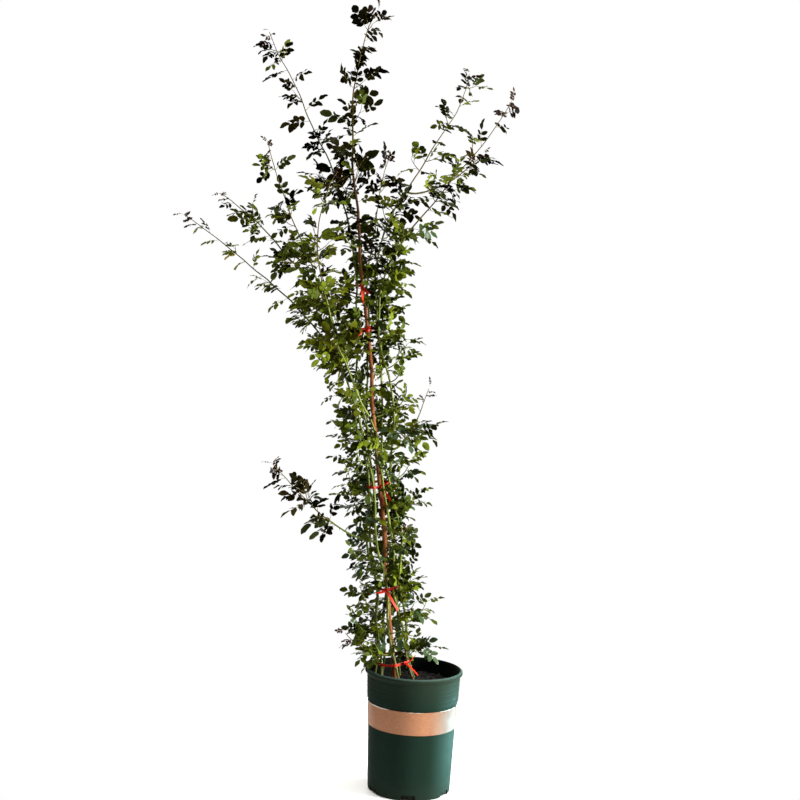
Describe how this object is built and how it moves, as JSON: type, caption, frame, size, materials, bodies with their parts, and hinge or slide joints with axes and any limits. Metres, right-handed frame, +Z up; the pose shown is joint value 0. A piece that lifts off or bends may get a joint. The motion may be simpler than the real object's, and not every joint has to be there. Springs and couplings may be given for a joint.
{
  "type": "potted climbing rose",
  "caption": "Climbing rose in a nursery pot: slim arching canes tied into a leaning column, with leafy shoots that spread into an open crown.",
  "frame": {"origin": "centre of the pot's flat underside", "axes": "+Z up; +X to the right and -Y towards the viewer of the picture; the column leans towards -X"},
  "size_m": [0.7831, 0.6225, 1.8147],
  "materials": {
    "pot": "moulded dark green plastic, satin",
    "pot_band": "bare matt film sleeve, salmon tan",
    "soil": "dark bark and peat potting mix",
    "cane": "green rose bark with prickles",
    "woody_cane": "older brown rose bark",
    "tie": "red plastic tying strip",
    "leaves": "green rose foliage, satin"
  },
  "bodies": {
    "root": {"cane_back": "cane", "cane_centre": "woody_cane", "cane_front": "cane", "cane_left_far": "cane", "cane_left_high": "cane", "cane_left_top": "cane", "cane_right_high": "cane", "cane_right_low": "cane", "leaves_cane_back": "leaves", "leaves_cane_centre": "leaves", "leaves_cane_front": "leaves", "leaves_cane_left_far": "leaves", "leaves_cane_left_high": "leaves", "leaves_cane_left_top": "leaves", "leaves_cane_right_high": "leaves", "leaves_cane_right_low": "leaves", "leaves_column_01": "leaves", "leaves_column_02": "leaves", "leaves_column_03": "leaves", "leaves_column_04": "leaves", "leaves_column_05": "leaves", "leaves_column_06": "leaves", "leaves_column_07": "leaves", "leaves_column_08": "leaves", "leaves_column_09": "leaves", "leaves_column_10": "leaves", "leaves_column_11": "leaves", "leaves_column_12": "leaves", "leaves_column_13": "leaves", "leaves_column_14": "leaves", "leaves_column_15": "leaves", "leaves_column_16": "leaves", "leaves_column_17": "leaves", "leaves_column_18": "leaves", "leaves_column_19": "leaves", "leaves_column_20": "leaves", "leaves_column_21": "leaves", "leaves_column_22": "leaves", "leaves_column_23": "leaves", "leaves_column_24": "leaves", "leaves_column_25": "leaves", "leaves_shoot_left_mid": "leaves", "leaves_shoot_low_left": "leaves", "leaves_shoot_low_twig": "leaves", "leaves_shoot_right_mid": "leaves", "leaves_shoot_right_small": "leaves", "pot": "pot", "pot_band": "pot_band", "shoot_left_mid": "cane", "shoot_low_left": "cane", "shoot_low_twig": "cane", "shoot_right_mid": "cane", "shoot_right_small": "cane", "soil": "soil", "tie_1": "tie", "tie_2": "tie", "tie_3": "tie", "tie_4": "tie", "tie_5": "tie"}
  },
  "joints": []
}
